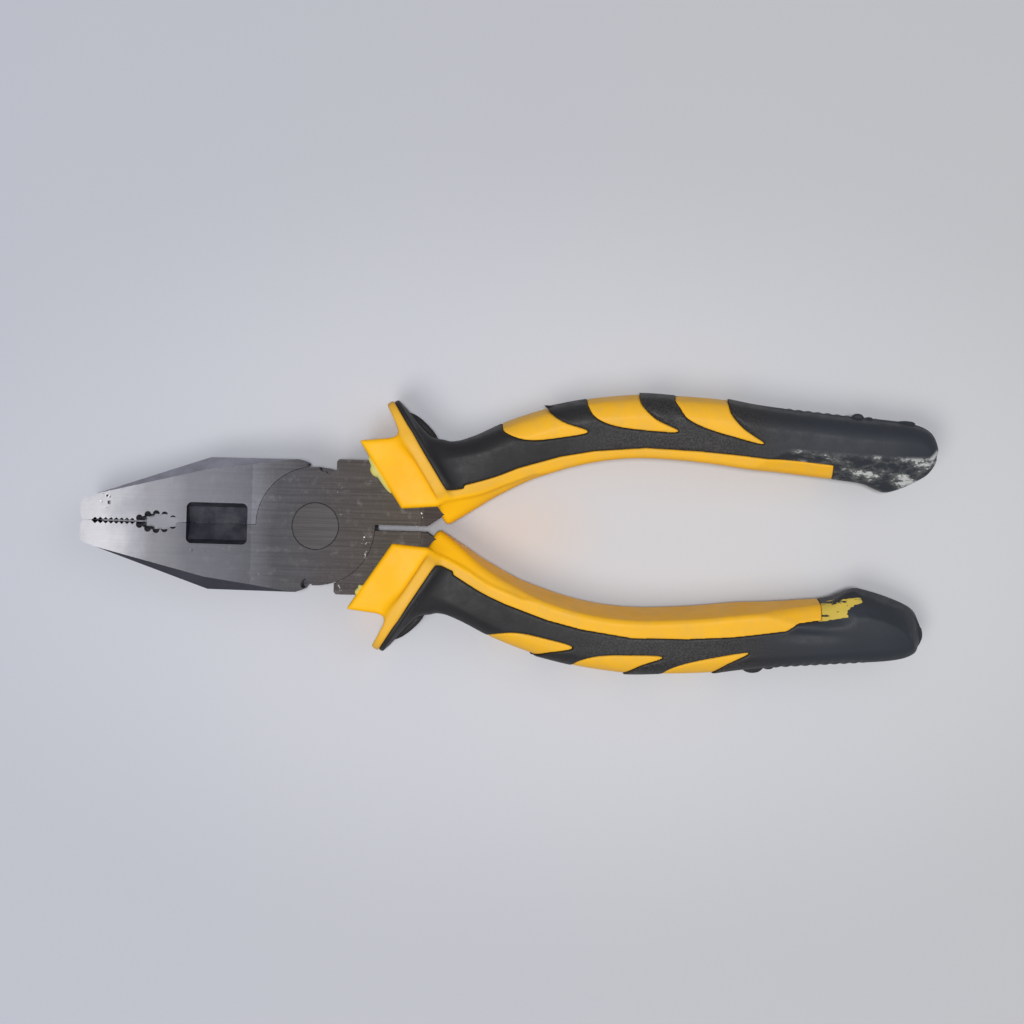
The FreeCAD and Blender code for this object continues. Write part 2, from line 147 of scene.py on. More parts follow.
# crease along the tail, on the front and on the back
FRONT_CREASE = [(96, 13.0), (104, 17.0), (110, 20.4), (114, 20.8), (121, 20.2), (137.5, 19.3),
                (144.6, 19.0), (149, 23.0)]
BACK_CREASE = [
    (103, 12.0), (110, 16.0), (117, 17.8), (124, 18.0), (128.7, 17.3), (131.5, 16.5), (134, 15.2),
    (136.8, 15.1), (139.2, 16.0), (141.6, 17.8), (143.3, 19.6), (144.8, 22.0), (147, 27.0),
]
FRONT_SLOPE = 0.40            # the surface falls below the creases by these slopes
BACK_SLOPE = 0.75
# shallow scoop beside the back's crease: its middle, its size in plan and its depth
SCOOP_MIDDLE = (119.0, 19.9)
SCOOP_SIZE = (6.5, 1.2)
SCOOP_DEPTH = 0.5
# the lower grip's inner tail corner lies this much nearer to the guard. The pull grows over the first
# stretch and dies out over the second
LOWER_PULL = 4.5
PULL_GROWS = (122.0, 133.0)
PULL_ENDS = (135.0, 146.0)

# the fin on the hood's parting line: its middle, its direction, its half length and how far it stands out
FIN_MIDDLE = (25.3, 24.0)
FIN_SLOPE = -43.0
FIN_REACH = 4.8
FIN_PROUD = 1.15
FLASH_HALF_T = 0.8            # half thickness of the fin and of the mould flash
LIP_HALF_T = 0.7              # and of the flash on the collar's lip

# mould flash at the outer edge: (x, y, half length, how far it stands out)
UPPER_FLASH = [(54.6, 29.0, 3.4, 0.7), (128.3, 27.9, 1.5, 1.0), (131.0, 27.6, 1.0, 0.5),
               (139.5, 26.7, 2.6, 0.6)]
LOWER_FLASH = [(56.5, 29.4, 2.4, 0.5), (107.6, 29.9, 2.8, 2.0), (111.4, 29.5, 1.7, 1.3)]
# torn flash on the collar's front lip: (x, y, height, half length, how far it stands out)
UPPER_LIP = [(15.6, 12.2, 6.4, 5.2, 0.75), (14.6, 13.2, 6.4, 1.6, 1.2)]
LOWER_LIP = [(13.2, 16.0, -6.4, 0.9, 0.6), (14.0, 15.0, -6.4, 0.5, 0.9)]
# yellow smeared over the black where the lower grip's strip ends
SMEAR_OUTLINE = [(121.6, 13.4), (128.0, 12.4), (137.0, 11.2), (133.0, 13.2), (132.0, 15.4), (121.6, 16.6)]


# ---------------------------------------------------------------- distance fields
def smooth_closed(points, per_span=6):
    """Closed Catmull-Rom curve through the points."""
    p = np.array(points, float)
    a, b, c, d = np.roll(p, 1, 0), p, np.roll(p, -1, 0), np.roll(p, -2, 0)
    out = []
    for t in np.linspace(0, 1, per_span, endpoint=False):
        cubic = 2 * b + (c - a) * t + (2 * a - 5 * b + 4 * c - d) * t**2 + (3 * b - 3 * c + d - a) * t**3
        out.append(cubic / 2)
    return np.stack(out, 1).reshape(-1, 2)


class Plan:
    """A square grid over the plan on which outlines become distance maps."""

    def __init__(self, low, high, step):
        self.low = np.array(low, float)
        self.step = step
        self.x = np.arange(low[0], high[0] + step, step)
        self.y = np.arange(low[1], high[1] + step, step)
        self.X, self.Y = np.meshgrid(self.x, self.y, indexing="ij")

    def distance(self, outline):
        """Signed distance to a closed outline, negative inside."""
        near = np.full(self.X.shape, 1e9)
        inside = np.zeros(self.X.shape, bool)
        for (ax, ay), (bx, by) in zip(outline, np.roll(outline, -1, 0)):
            ex, ey = bx - ax, by - ay
            px, py = self.X - ax, self.Y - ay
            t = np.clip((px * ex + py * ey) / max(ex * ex + ey * ey, 1e-12), 0, 1)
            near = np.minimum(near, (px - t * ex) ** 2 + (py - t * ey) ** 2)
            if ay != by:
                crossing = ax + (self.Y - ay) * ex / ey
                inside ^= ((ay > self.Y) != (by > self.Y)) & (self.X < crossing)
        near = np.sqrt(near)
        return np.where(inside, -near, near)

    def below(self, line, slope, step=0.0):
        """How far a surface falls below a crease line of (x, y) points: a small step, then a slope."""
        xs, ys = np.array(line, float).T
        depth = np.interp(self.x, xs, ys, left=-50, right=ys[-1])[:, None] - self.Y
        return slope * soft_plus(depth, 0.4) + step * smooth_step(depth, 0.0, 0.8)

    def reader(self, points_x, points_y):
        """A function that reads maps of this grid at the points, by bilinear interpolation."""
        gx = np.clip((points_x - self.low[0]) / self.step, 0, len(self.x) - 1.001)
        gy = np.clip((points_y - self.low[1]) / self.step, 0, len(self.y) - 1.001)
        ix, iy = gx.astype(np.int32), gy.astype(np.int32)
        tx, ty = (gx - ix).astype(np.float32), (gy - iy).astype(np.float32)
        flat = ix * len(self.y) + iy

        def read(grid):
            g = grid.astype(np.float32).ravel()
            n = len(self.y)
            near = g[flat] * (1 - ty) + g[flat + 1] * ty
            far = g[flat + n] * (1 - ty) + g[flat + n + 1] * ty
            return near * (1 - tx) + far * tx

        return read


def soft_plus(x, width):
    """max(x, 0) with a rounded corner."""
    return 0.5 * (x + np.sqrt(x * x + width * width))


def soft_min(a, b, width):
    """Union with a fillet of about this width."""
    h = np.clip(0.5 + 0.5 * (b - a) / width, 0, 1)
    return b + (a - b) * h - width * h * (1 - h)


def soft_max(a, b, width):
    """Intersection with a rounded edge."""
    return -soft_min(-a, -b, width)


def soft_slab(side, height, radius):
    """A plan region carried through a thickness, with rounded edges."""
    q, r = side + radius, height + radius
    outside = np.sqrt(np.maximum(q, 0) ** 2 + np.maximum(r, 0) ** 2)
    return np.minimum(np.maximum(q, r), 0) + outside - radius


def profile(points, x):
    """A line of (x, value) points, read with its corners eased."""
    xs, ys = np.array(points, float).T
    dense = np.linspace(xs[0], xs[-1], 400)
    line = np.interp(dense, xs, ys)
    window = np.ones(15) / 15
    padded = np.pad(line, 7, mode="edge")
    return np.interp(x, dense, np.convolve(padded, window, "valid"))


def smooth_step(x, low, high):
    """Rises from 0 at low to 1 at high. It falls instead where low is above high."""
    t = np.clip((x - low) / (high - low), 0, 1)
    return t * t * (3 - 2 * t)


def unroll(x, y, z):
    """Places across the hand-hold and above its middle plane, as they are before it is rolled."""
    roll = math.radians(ROLL) * smooth_step(x, *ROLL_X)
    middle = profile(MIDLINE, x)
    e = y - middle
    return middle + e * np.cos(roll) + z * np.sin(roll), -e * np.sin(roll) + z * np.cos(roll)


def along_sleeve(x, y):
    """Places along the sleeve, from the guard, and across it, outward."""
    tilt = math.radians(SLEEVE_TILT)
    sx, sy = x - SLEEVE_ORIGIN[0], y - SLEEVE_ORIGIN[1]
    return sx * math.cos(tilt) + sy * math.sin(tilt), -sx * math.sin(tilt) + sy * math.cos(tilt)


class Grip:
    """Distance fields of the yellow core and the black overmould on one grid."""

    def __init__(self):
        self.low = np.array(FIELD_LOW)
        count = np.ceil((np.array(FIELD_HIGH) - self.low) / VOXEL).astype(int)
        axes = [self.low[i] + VOXEL * np.arange(count[i]) for i in range(3)]
        self.x, self.y, self.z = [a.astype(np.float32) for a in np.meshgrid(*axes, indexing="ij")]
        self.plan = Plan((0.0, -6.0), (152.0, 38.0), PLAN_STEP)
        self.flat_y, self.height = unroll(self.x, self.y, self.z)
        self.outward = self.flat_y - profile(MIDLINE, self.x)
        self.read = self.plan.reader(self.x, self.flat_y)
        self.strip, self.window = self.yellow_areas()
        self.core, self.black = self.shapes()

    def yellow_areas(self):
        """Distances to the strip, and to the strip and pads together."""
        lean = profile(LEAN, self.x) * self.height
        read = self.plan.reader(self.x, self.flat_y + lean)
        front, back = (
            read(self.plan.distance(np.array(STRIP_START + boundary + STRIP_INNER)))
            for boundary in (STRIP_FRONT, STRIP_BACK)
        )
        strip = np.where(self.height > 0, front, back)
        pads = [self.plan.distance(smooth_closed(p)) for p in PAD_OUTLINES]
        return strip, np.minimum(strip, read(np.minimum.reduce(pads)))

    def tube(self):
        """The hand-hold, with the web to the guard's inner tip and the creased tail."""
        plan = self.plan
        offset = plan.Y - profile(MIDLINE, plan.x)[:, None]
        top = profile(HEIGHTS, plan.x)[:, None] - np.where(offset > 0, *CROWN) * offset**2
        top = top - plan.below(WEB_EDGE, WEB_SLOPE, WEB_STEP) * smooth_step(plan.X, 58.0, 50.0)
        front = top - plan.below(FRONT_CREASE, FRONT_SLOPE)
        u = (plan.X - SCOOP_MIDDLE[0]) / SCOOP_SIZE[0]
        v = (plan.Y - SCOOP_MIDDLE[1]) / SCOOP_SIZE[1]
        scoop = SCOOP_DEPTH * np.exp(-u**2 - v**2)
        back = top - plan.below(BACK_CREASE, BACK_SLOPE) - scoop
        over = np.where(self.height > 0, self.read(front), self.read(back))
        bulge = np.where(self.outward > 0, *BULGE) * self.height**2
        side = self.sheared(plan.distance(smooth_closed(BODY_OUTLINE))) + bulge
        radius = 1.3 + 2.0 * smooth_step(self.outward, -1.0, 5.0)
        return soft_slab(side + self.ribs(), np.abs(self.height) - over, radius)

    def ribs(self):
        """Slanting ribs on the back half of the tail's outer edge."""
        ribs = RIB_DEPTH * np.cos(2 * math.pi / RIB_PITCH * (self.x + 0.35 * self.height))
        ribs = ribs * smooth_step(self.height, -0.5, -2.5) * smooth_step(self.outward, 2.5, 4.5)
        ribs = ribs * smooth_step(self.x, RIBS[0], RIBS[0] + 3)
        ribs = ribs * smooth_step(self.x, RIBS[1], RIBS[1] - 3)
        return ribs * smooth_step(np.abs(self.height), 6.3, 5.0)

    def sheared(self, grid):
        """Reads a plan map with the tail's inner corner leaning along the handle."""
        share = smooth_step(self.x, 118.0, 130.0) * smooth_step(self.flat_y, 20.0, 14.0)
        return self.plan.reader(self.x - TAIL_SHEAR * self.height * share, self.flat_y)(grid)

    def shapes(self):
        """The core and the overmould: hand-hold, guard, collar and hood, split by the window."""
        body = self.tube()
        window = self.window
        lip = self.read(sum(pad_lip(self.plan, p) for p in PAD_OUTLINES))

        s, t = along_sleeve(self.x, self.y)
        across = Plan((-40.0, -12.0), (40.0, 12.0), PLAN_STEP)
        mirrored = GUARD_HALF + [(a, -b) for a, b in GUARD_HALF[-2:0:-1]]
        disc = across.reader(t, self.z)(across.distance(smooth_closed(mirrored)))
        plate_front = GUARD[0] + GUARD_TAPER * smooth_step(t, 8.0, 19.0)
        plate = soft_slab(disc, np.maximum(s - GUARD[1], plate_front - s), 0.55)
        flat = self.plan.reader(self.x, self.y)
        collar_side = flat(self.plan.distance(np.array(COLLAR_OUTLINE)))
        collar = np.maximum(soft_slab(collar_side, np.abs(self.z) - COLLAR_HALF, 1.0), s + 0.3)
        front = soft_min(collar, plate, 1.0 + 2.0 * smooth_step(t, 3.0, 10.0))

        band = soft_max(body + CORE_DROP, window, 0.3)
        behind = soft_min(band, plate, 1.6)
        core = np.minimum(front, np.where(self.strip < 1.5, behind, band))

        backing = soft_slab(disc + 0.5, np.abs(s - BACKING / 2) - BACKING / 2, 0.4)
        hood_side = flat(self.plan.distance(smooth_closed(HOOD_OUTLINE)))
        hood = soft_max(hood_side, disc + 1.4 + 0.5 * np.maximum(s, 0), 2.4)
        black = soft_min(body - lip, soft_min(hood, backing, 2.0), 3.0)
        black = np.minimum(black, hood_fin(self.x, self.y, self.z))
        black = soft_max(black, SHOT_GAP - window, 0.3)
        black = np.maximum(black, GUARD[1] + 0.03 - s)
        return core, black

    def with_flash(self, flash):
        """The overmould with thin flash along its parting line."""
        line = np.abs(self.height) - 0.3
        edge = self.read(self.plan.distance(smooth_closed(BODY_OUTLINE)))
        elsewhere = np.maximum(60 - self.x, -self.outward)
        black = np.minimum(self.black, np.maximum(np.maximum(line, edge - 0.18), elsewhere))
        for x, y, reach, proud in flash:
            u, v = (self.x - x) / reach, (self.flat_y - y) / proud
            black = np.minimum(black, blob(u, v, self.height, FLASH_HALF_T))
        return np.maximum(black, SHOT_GAP - self.window)

    def with_lip(self, flash):
        """The core with torn flash on the collar's front lip."""
        core = self.core
        for x, y, height, reach, proud in flash:
            u, v = along_lip(self.x - x, self.y - y)
            core = np.minimum(core, blob(u / reach, v / proud, self.z - height, LIP_HALF_T))
        return core


def blob(u, v, height, half_t):
    """A flat ellipsoid. u and v are shares of its half axes in plan."""
    return (np.sqrt(u**2 + v**2 + (height / half_t) ** 2) - 1) * half_t


def along_lip(x, y):
    """Distances along the collar's front lip and out from it."""
    (ax, ay), (bx, by) = COLLAR_OUTLINE[0], COLLAR_OUTLINE[-1]
    length = math.hypot(bx - ax, by - ay)
    ex, ey = (bx - ax) / length, (by - ay) / length
    return x * ex + y * ey, x * ey - y * ex


def pad_lip(plan, outline):
    """The overmould stands proud behind each pad's tail edge and falls away towards the handle's end."""
    tip, edge = np.array(outline[5]), np.array(outline[7])
    along = (edge - tip) / np.linalg.norm(edge - tip)
    beyond = (plan.X - tip[0]) * along[1] - (plan.Y - tip[1]) * along[0]
    rise = smooth_step(plan.Y, tip[1] - 1.0, edge[1] - 0.5)
    return 0.5 * rise * np.where(beyond > -0.6, np.exp(-np.maximum(beyond, 0) / 3.2), 0)


def hood_fin(x, y, z):
    """The thin flash that stands along the hood's parting line."""
    ex, ey = x - FIN_MIDDLE[0], y - FIN_MIDDLE[1]
    slope = math.radians(FIN_SLOPE)
    u = ex * math.cos(slope) + ey * math.sin(slope)
    v = -ex * math.sin(slope) + ey * math.cos(slope)
    return blob(u / FIN_REACH, v / FIN_PROUD, z, FLASH_HALF_T)


# ---------------------------------------------------------------- meshes
def surface_net(field, low, step):
    """Closed quad mesh of a field's zero surface, with one vertex in each cell that it crosses."""
    inside = field < 0
    size = np.array(field.shape) - 1
    corners = [
        inside[i:size[0] + i, j:size[1] + j, k:size[2] + k] for i in (0, 1) for j in (0, 1) for k in (0, 1)
    ]
    count = np.sum(corners, 0)
    active = (count > 0) & (count < 8)
    cells = np.argwhere(active)
    index = np.full(active.shape, -1)
    index[active] = np.arange(len(cells))

    total = np.zeros((len(cells), 3))
    hits = np.zeros(len(cells))
    for axis in range(3):
        others = [(axis + 1) % 3, (axis + 2) % 3]
        for shift in ((0, 0), (0, 1), (1, 0), (1, 1)):
            start = cells.copy()
            start[:, others] += shift
            end = start.copy()
            end[:, axis] += 1
            f0, f1 = field[tuple(start.T)], field[tuple(end.T)]
            cross = (f0 < 0) != (f1 < 0)
            point = start[cross].astype(float)
            point[:, axis] += f0[cross] / (f0[cross] - f1[cross])
            total[cross] += point
            hits[cross] += 1
    vertices = total / hits[:, None]
    for _ in range(3):
        vertices = onto_surface(field, vertices)

    quads = []
    for axis in range(3):
        b, c = (axis + 1) % 3, (axis + 2) % 3
        first = np.take(inside, range(size[axis]), axis)
        second = np.take(inside, range(1, size[axis] + 1), axis)
        edges = np.argwhere(first != second)
        on_rim = (edges[:, [b, c]] == 0) | (edges[:, [b, c]] == size[[b, c]])
        edges = edges[~on_rim.any(1)]
        leaving = first[tuple(edges.T)]
        ring = []
        for back_b, back_c in ((1, 1), (0, 1), (0, 0), (1, 0)):
            cell = edges.copy()
            cell[:, b] -= back_b
            cell[:, c] -= back_c
            ring.append(index[tuple(cell.T)])
        ring = np.stack(ring, 1)
        quads.append(np.where(leaving[:, None], ring, ring[:, ::-1]))
    return low + step * vertices, np.concatenate(quads)


def read_field(field, p):
    """Trilinear reading of a field at grid places."""
    limit = np.array(field.shape) - 1.001
    p = np.clip(p, 0, limit)
    base = p.astype(int)
    t = p - base
    value = 0
    for corner in np.ndindex(2, 2, 2):
        weight = np.prod(np.where(corner, t, 1 - t), 1)
        value = value + weight * field[tuple((base + corner).T)]
    return value


def onto_surface(field, p):
    """One Newton step that brings vertices onto the zero surface, by at most half a cell."""
    slope = np.stack([
        read_field(field, p + step) - read_field(field, p - step) for step in np.eye(3) * 0.5
    ], 1)
    move = read_field(field, p)[:, None] * slope / np.maximum((slope**2).sum(1, keepdims=True), 1e-3)
    length = np.linalg.norm(move, axis=1, keepdims=True)
    return p - move * np.minimum(1, 0.5 / np.maximum(length, 1e-9))


def mesh_object(name, vertices, faces, material):
    """A smooth-shaded mesh object. Its vertices are given in metres."""
    mesh = bpy.data.meshes.new(name)
    mesh.from_pydata(vertices.tolist(), [], faces.tolist())
    mesh.polygons.foreach_set("use_smooth", np.ones(len(mesh.polygons), bool))
    mesh.materials.append(material)
    mesh.update()
    obj = bpy.data.objects.new(name, mesh)
    bpy.context.scene.collection.objects.link(obj)
    return obj


def set_in_place(vertices, lower):
    """Grip vertices, in millimetres, moved to the upper or the lower handle, in metres."""
    p = vertices.copy()
    if lower:
        pull = smooth_step(p[:, 0], *PULL_GROWS) * (1 - smooth_step(p[:, 0], *PULL_ENDS))
        p[:, 0] -= LOWER_PULL * pull * smooth_step(p[:, 1], 21.0, 15.0)
    p[:, 0] -= GRIP_SEAT
    if lower:
        tilt = math.radians(SLEEVE_TILT)
        p[:, 0] -= LOWER_SEAT * math.cos(tilt)
        p[:, 1] -= LOWER_SEAT * math.sin(tilt)
    a = math.radians(LOWER_SPREAD if lower else HANDLE_SPREAD)
    x = p[:, 0] * math.cos(a) - p[:, 1] * math.sin(a)
    y = p[:, 0] * math.sin(a) + p[:, 1] * math.cos(a)
    z = p[:, 2]
    if lower:
        y, z = -y, -z
    return np.stack([x, y, z + MID_Z], 1) * MM


# ---------------------------------------------------------------- materials
class Nodes:
    """Short ways to lay out a material's nodes."""

    def __init__(self, name):
        self.material = bpy.data.materials.new(name)
        self.material.use_nodes = True
        self.tree = self.material.node_tree
        self.shader = self.tree.nodes["Principled BSDF"]
        coordinates = self.tree.nodes.new("ShaderNodeTexCoord").outputs
        self.place = coordinates["Object"]
        self.normal = coordinates["Normal"]

    def link(self, value, socket):
        """Joins a node's output to the socket, or sets a constant on it."""
        if isinstance(value, bpy.types.NodeSocket):
            self.tree.links.new(value, socket)
        else:
            socket.default_value = value

    def math(self, operation, a, b=0.0, clamp=False):
        """One step of arithmetic on sockets or numbers."""
        node = self.tree.nodes.new("ShaderNodeMath")
        node.operation = operation
        node.use_clamp = clamp
        self.link(a, node.inputs[0])
        self.link(b, node.inputs[1])
        return node.outputs[0]

    def product(self, *values):
        """The values multiplied together."""
        share = values[0]
        for value in values[1:]:
            share = self.math("MULTIPLY", share, value)
        return share

    def stretched(self, scale, turn):
        """The place in the object, turned by degrees in plan and scaled along X, Y and Z."""
        node = self.tree.nodes.new("ShaderNodeMapping")
        node.inputs["Scale"].default_value = scale
        node.inputs["Rotation"].default_value = (0, 0, math.radians(turn))
        self.tree.links.new(self.place, node.inputs["Vector"])
        return node.outputs[0]

    def noise(self, scale, detail=4.0, rough=0.55, vector=None):
        """Noise over the object, or over a stretched place."""
        node = self.tree.nodes.new("ShaderNodeTexNoise")
        node.inputs["Scale"].default_value = scale
        node.inputs["Detail"].default_value = detail
        node.inputs["Roughness"].default_value = rough
        self.tree.links.new(vector or self.place, node.inputs["Vector"])
        return node.outputs["Fac"]

    def spots(self, scale):
        """Distance to the nearest of many scattered points, as a share of their spacing."""
        node = self.tree.nodes.new("ShaderNodeTexVoronoi")
        node.inputs["Scale"].default_value = scale
        self.tree.links.new(self.place, node.inputs["Vector"])
        return node.outputs["Distance"]

    def ramp(self, value, low, high, to_low=0.0, to_high=1.0):
        """Eases from one value at low to the other at high."""
        node = self.tree.nodes.new("ShaderNodeMapRange")
        node.interpolation_type = "SMOOTHSTEP"
        self.link(value, node.inputs["Value"])
        node.inputs["From Min"].default_value = low
        node.inputs["From Max"].default_value = high
        node.inputs["To Min"].default_value = to_low
        node.inputs["To Max"].default_value = to_high
        return node.outputs["Result"]

    def colours(self, value, stops):
        """Colour ramp over (position, colour) stops."""
        node = self.tree.nodes.new("ShaderNodeValToRGB")
        band = node.color_ramp
        while len(band.elements) < len(stops):
            band.elements.new(0.5)
        for element, (position, colour) in zip(band.elements, stops):
            element.position = position
            element.color = (*colour, 1)
        self.link(value, node.inputs["Fac"])
        return node.outputs["Color"]

    def mix(self, share, a, b, blend="MIX"):
        """Colour a going over to b by the share."""
        node = self.tree.nodes.new("ShaderNodeMix")
        node.data_type = "RGBA"
        node.blend_type = blend
        node.clamp_factor = True
        self.link(share, node.inputs["Factor"])
        for value, socket in ((a, node.inputs["A"]), (b, node.inputs["B"])):
            self.link(value if isinstance(value, bpy.types.NodeSocket) else (*value, 1), socket)
        return node.outputs["Result"]

    def split(self, vector):
        """The vector's X, Y and Z."""
        node = self.tree.nodes.new("ShaderNodeSeparateXYZ")
        self.tree.links.new(vector, node.inputs[0])
        return node.outputs

    def mark(self, name):
        """A point attribute of the mesh."""
        node = self.tree.nodes.new("ShaderNodeAttribute")
        node.attribute_name = name
        return node.outputs["Fac"]

    def box(self, low, high, soft):
        """One inside a box of the object, in metres, falling to zero over the soft width outside it."""
        share = 1.0
        for value, a, b in zip(self.split(self.place), low, high):
            up = self.ramp(value, a - soft, a + soft)
            down = self.ramp(value, b + soft, b - soft)
            share = self.product(share, up, down)
        return share

    def distance(self, centre, scale):
        """Distance in plan from a centre, in metres, with X and Y scaled."""
        squares = []
        for value, middle, factor in zip(self.split(self.place), centre, scale):
            offset = self.product(self.math("SUBTRACT", value, middle), factor)
            squares.append(self.math("POWER", offset, 2.0))
        return self.math("SQRT", self.math("ADD", *squares))

    def bump(self, height, strength, distance):
        """Fine relief on the shader's normal. The distance is in metres."""
        node = self.tree.nodes.new("ShaderNodeBump")
        node.inputs["Strength"].default_value = strength
        node.inputs["Distance"].default_value = distance
        self.tree.links.new(height, node.inputs["Height"])
        self.tree.links.new(node.outputs[0], self.shader.inputs["Normal"])

    def finish(self, colour, roughness, metallic=0.0, specular=0.5):
        """Sets the shader's main inputs and returns the material."""
        self.link(colour, self.shader.inputs["Base Color"])
        self.link(roughness, self.shader.inputs["Roughness"])
        self.link(metallic, self.shader.inputs["Metallic"])
        self.link(specular, self.shader.inputs["Specular IOR Level"])
        return self.material


# places on the steel pieces, in metres: stretches of X and the corners of two boxes
# over this stretch of X the faces go from a painted reflection, light at the tip, to dark at the neck
TIP_TO_NECK = (-0.055, 0.030)
JAW_STARTS = (-0.048, -0.040)
JAW_ENDS = (-0.002, -0.010)
# past this step the steel is painted darker: a painted shade from the collar
NECK_STEP = (0.0245, 0.0258)
WORN_LOW = (-0.019, -0.013, 0.005)
WORN_HIGH = (0.028, 0.011, 0.015)
TIP_PITS_LOW = (-0.0512, 0.0032, 0.005)
TIP_PITS_HIGH = (-0.0486, 0.0062, 0.015)
RIVET_RIM = (0.00520, 0.00550)
# how much a surface faces up or down, for the bevels and for the ground faces
BEVEL_UP = ((0.50, 0.56), (0.86, 0.80))
GROUND_UP = (0.96, 0.99)
METAL_SPECULAR = 0.12


def steel(name, facet, tone):
    """Ground and oiled faces over dark forged sides. The faces are painted brighter towards the tips, a
    painted reflection, and the steel is painted darker past the neck's step, a painted shade from the
    collar.

    facet colours the bevels, and tone sets how light the jaw's face is. A lighter facet colour is a painted
    reflection.
    """
    n = Nodes(name)
    x = n.split(n.place)[0]
    cloud = n.math("SUBTRACT", n.noise(90.0, 3.0), 0.5)
    # the faces are painted lighter towards the tip: a painted reflection, with some random cloud in it
    tip_reflection_share = n.math("ADD", n.ramp(x, *TIP_TO_NECK), n.product(cloud, 0.10), clamp=True)
    face = n.colours(tip_reflection_share, [
        (0.00, (0.34, 0.34, 0.36)), (0.04, (0.22, 0.22, 0.24)), (0.09, (0.122, 0.122, 0.134)),
        (0.21, (0.072, 0.072, 0.082)), (0.42, (0.046, 0.046, 0.053)), (0.55, (0.0225, 0.0225, 0.0245)),
        (0.72, (0.018, 0.0165, 0.0175)), (0.94, (0.0142, 0.0118, 0.0098)),
    ])
    jaw = n.product(n.ramp(x, *JAW_STARTS), n.ramp(x, *JAW_ENDS))
    face = n.mix(jaw, face, (tone, tone, tone), "MULTIPLY")
    grind = n.noise(60.0, 3.0, 0.6, n.stretched((1.0, 34.0, 34.0), 3.0))
    face = n.mix(n.ramp(grind, 0.3, 0.7, 0.0, 0.20), face, (0.55, 0.55, 0.55), "MULTIPLY")
    mottle = n.noise(420.0, 2.0)
    face = n.mix(n.ramp(mottle, 0.55, 0.8, 0.0, 0.035), face, (0.30, 0.29, 0.28))
    worn = n.product(n.box(WORN_LOW, WORN_HIGH, 0.004), n.ramp(n.noise(75.0, 2.0), 0.56, 0.66))
    specks = n.product(worn, n.ramp(n.noise(900.0, 3.0, 0.7), 0.60, 0.68))
    face = n.mix(specks, face, (0.34, 0.33, 0.31))
    # past the neck's step the faces and sides are darkened: painted shade from the collar
    collar_shade_share = n.ramp(x, *NECK_STEP)
    face = n.mix(collar_shade_share, face, (0.009, 0.007, 0.006))
    pits = n.ramp(n.spots(330.0), 0.16, 0.05)
    pitted = n.product(pits, n.ramp(n.noise(240.0, 2.0), 0.60, 0.68))
    tip_pits = n.box(TIP_PITS_LOW, TIP_PITS_HIGH, 0.0004)
    tip_pits = n.product(tip_pits, n.ramp(n.spots(800.0), 0.40, 0.30))
    pitted = n.math("MAXIMUM", pitted, tip_pits)
    face = n.mix(pitted, face, (0.020, 0.018, 0.018))

    sides = n.mix(n.ramp(n.noise(260.0, 5.0), 0.35, 0.75), (0.048, 0.049, 0.066), (0.100, 0.100, 0.118))
    nz = n.math("ABSOLUTE", n.split(n.normal)[2])
    # the bevels take the facet colour, which is lighter on the upper jaw than the lower: a painted
    # reflection
    is_facet = n.product(n.ramp(nz, *BEVEL_UP[0]), n.ramp(nz, *BEVEL_UP[1]))
    facet_tone = n.mix(n.ramp(n.noise(180.0, 4.0), 0.3, 0.7, 0.0, 0.35), facet, (0.04, 0.04, 0.045))
    sides = n.mix(is_facet, sides, facet_tone)
    sides = n.mix(collar_shade_share, sides, (0.018, 0.015, 0.013))
    is_face = n.ramp(nz, *GROUND_UP)
    colour = n.mix(is_face, sides, face)
    roughness = n.math("ADD", n.ramp(is_face, 0, 1, 0.52, 0.34), n.ramp(grind, 0.3, 0.7, -0.015, 0.03))
    scratches = n.product(grind, n.ramp(is_face, 0, 1, 0.0, 0.10))
    forged = n.product(n.noise(700.0, 4.0), n.ramp(is_face, 0, 1, 1.0, 0.25))
    relief = n.math("SUBTRACT", n.math("ADD", scratches, forged), pitted)
    n.bump(relief, 0.35, 0.00012)
    return n.finish(colour, roughness, n.ramp(is_face, 0, 1, 0.55, 0.85), METAL_SPECULAR)


def rivet_steel():
    """The rivet's ground end, a shade lighter than the laps, with a dark broken rim."""
    n = Nodes("rivet_steel")
    x, y, _ = n.split(n.place)
    radius = n.math("SQRT", n.math("ADD", n.product(x, x), n.product(y, y)))
    grind = n.noise(60.0, 3.0, 0.6, n.stretched((1.0, 34.0, 34.0), -9.0))
    face = n.mix(n.ramp(grind, 0.3, 0.7), (0.024, 0.022, 0.023), (0.019, 0.018, 0.018))
    rim = n.ramp(radius, *RIVET_RIM)
    broken = n.ramp(n.noise(160.0, 2.0), 0.3, 0.5)
    face = n.mix(n.product(rim, broken), face, (0.010, 0.009, 0.010))
    n.bump(grind, 0.2, 0.00005)
    return n.finish(face, n.ramp(grind, 0.3, 0.7, 0.35, 0.38), 0.85, METAL_SPECULAR)


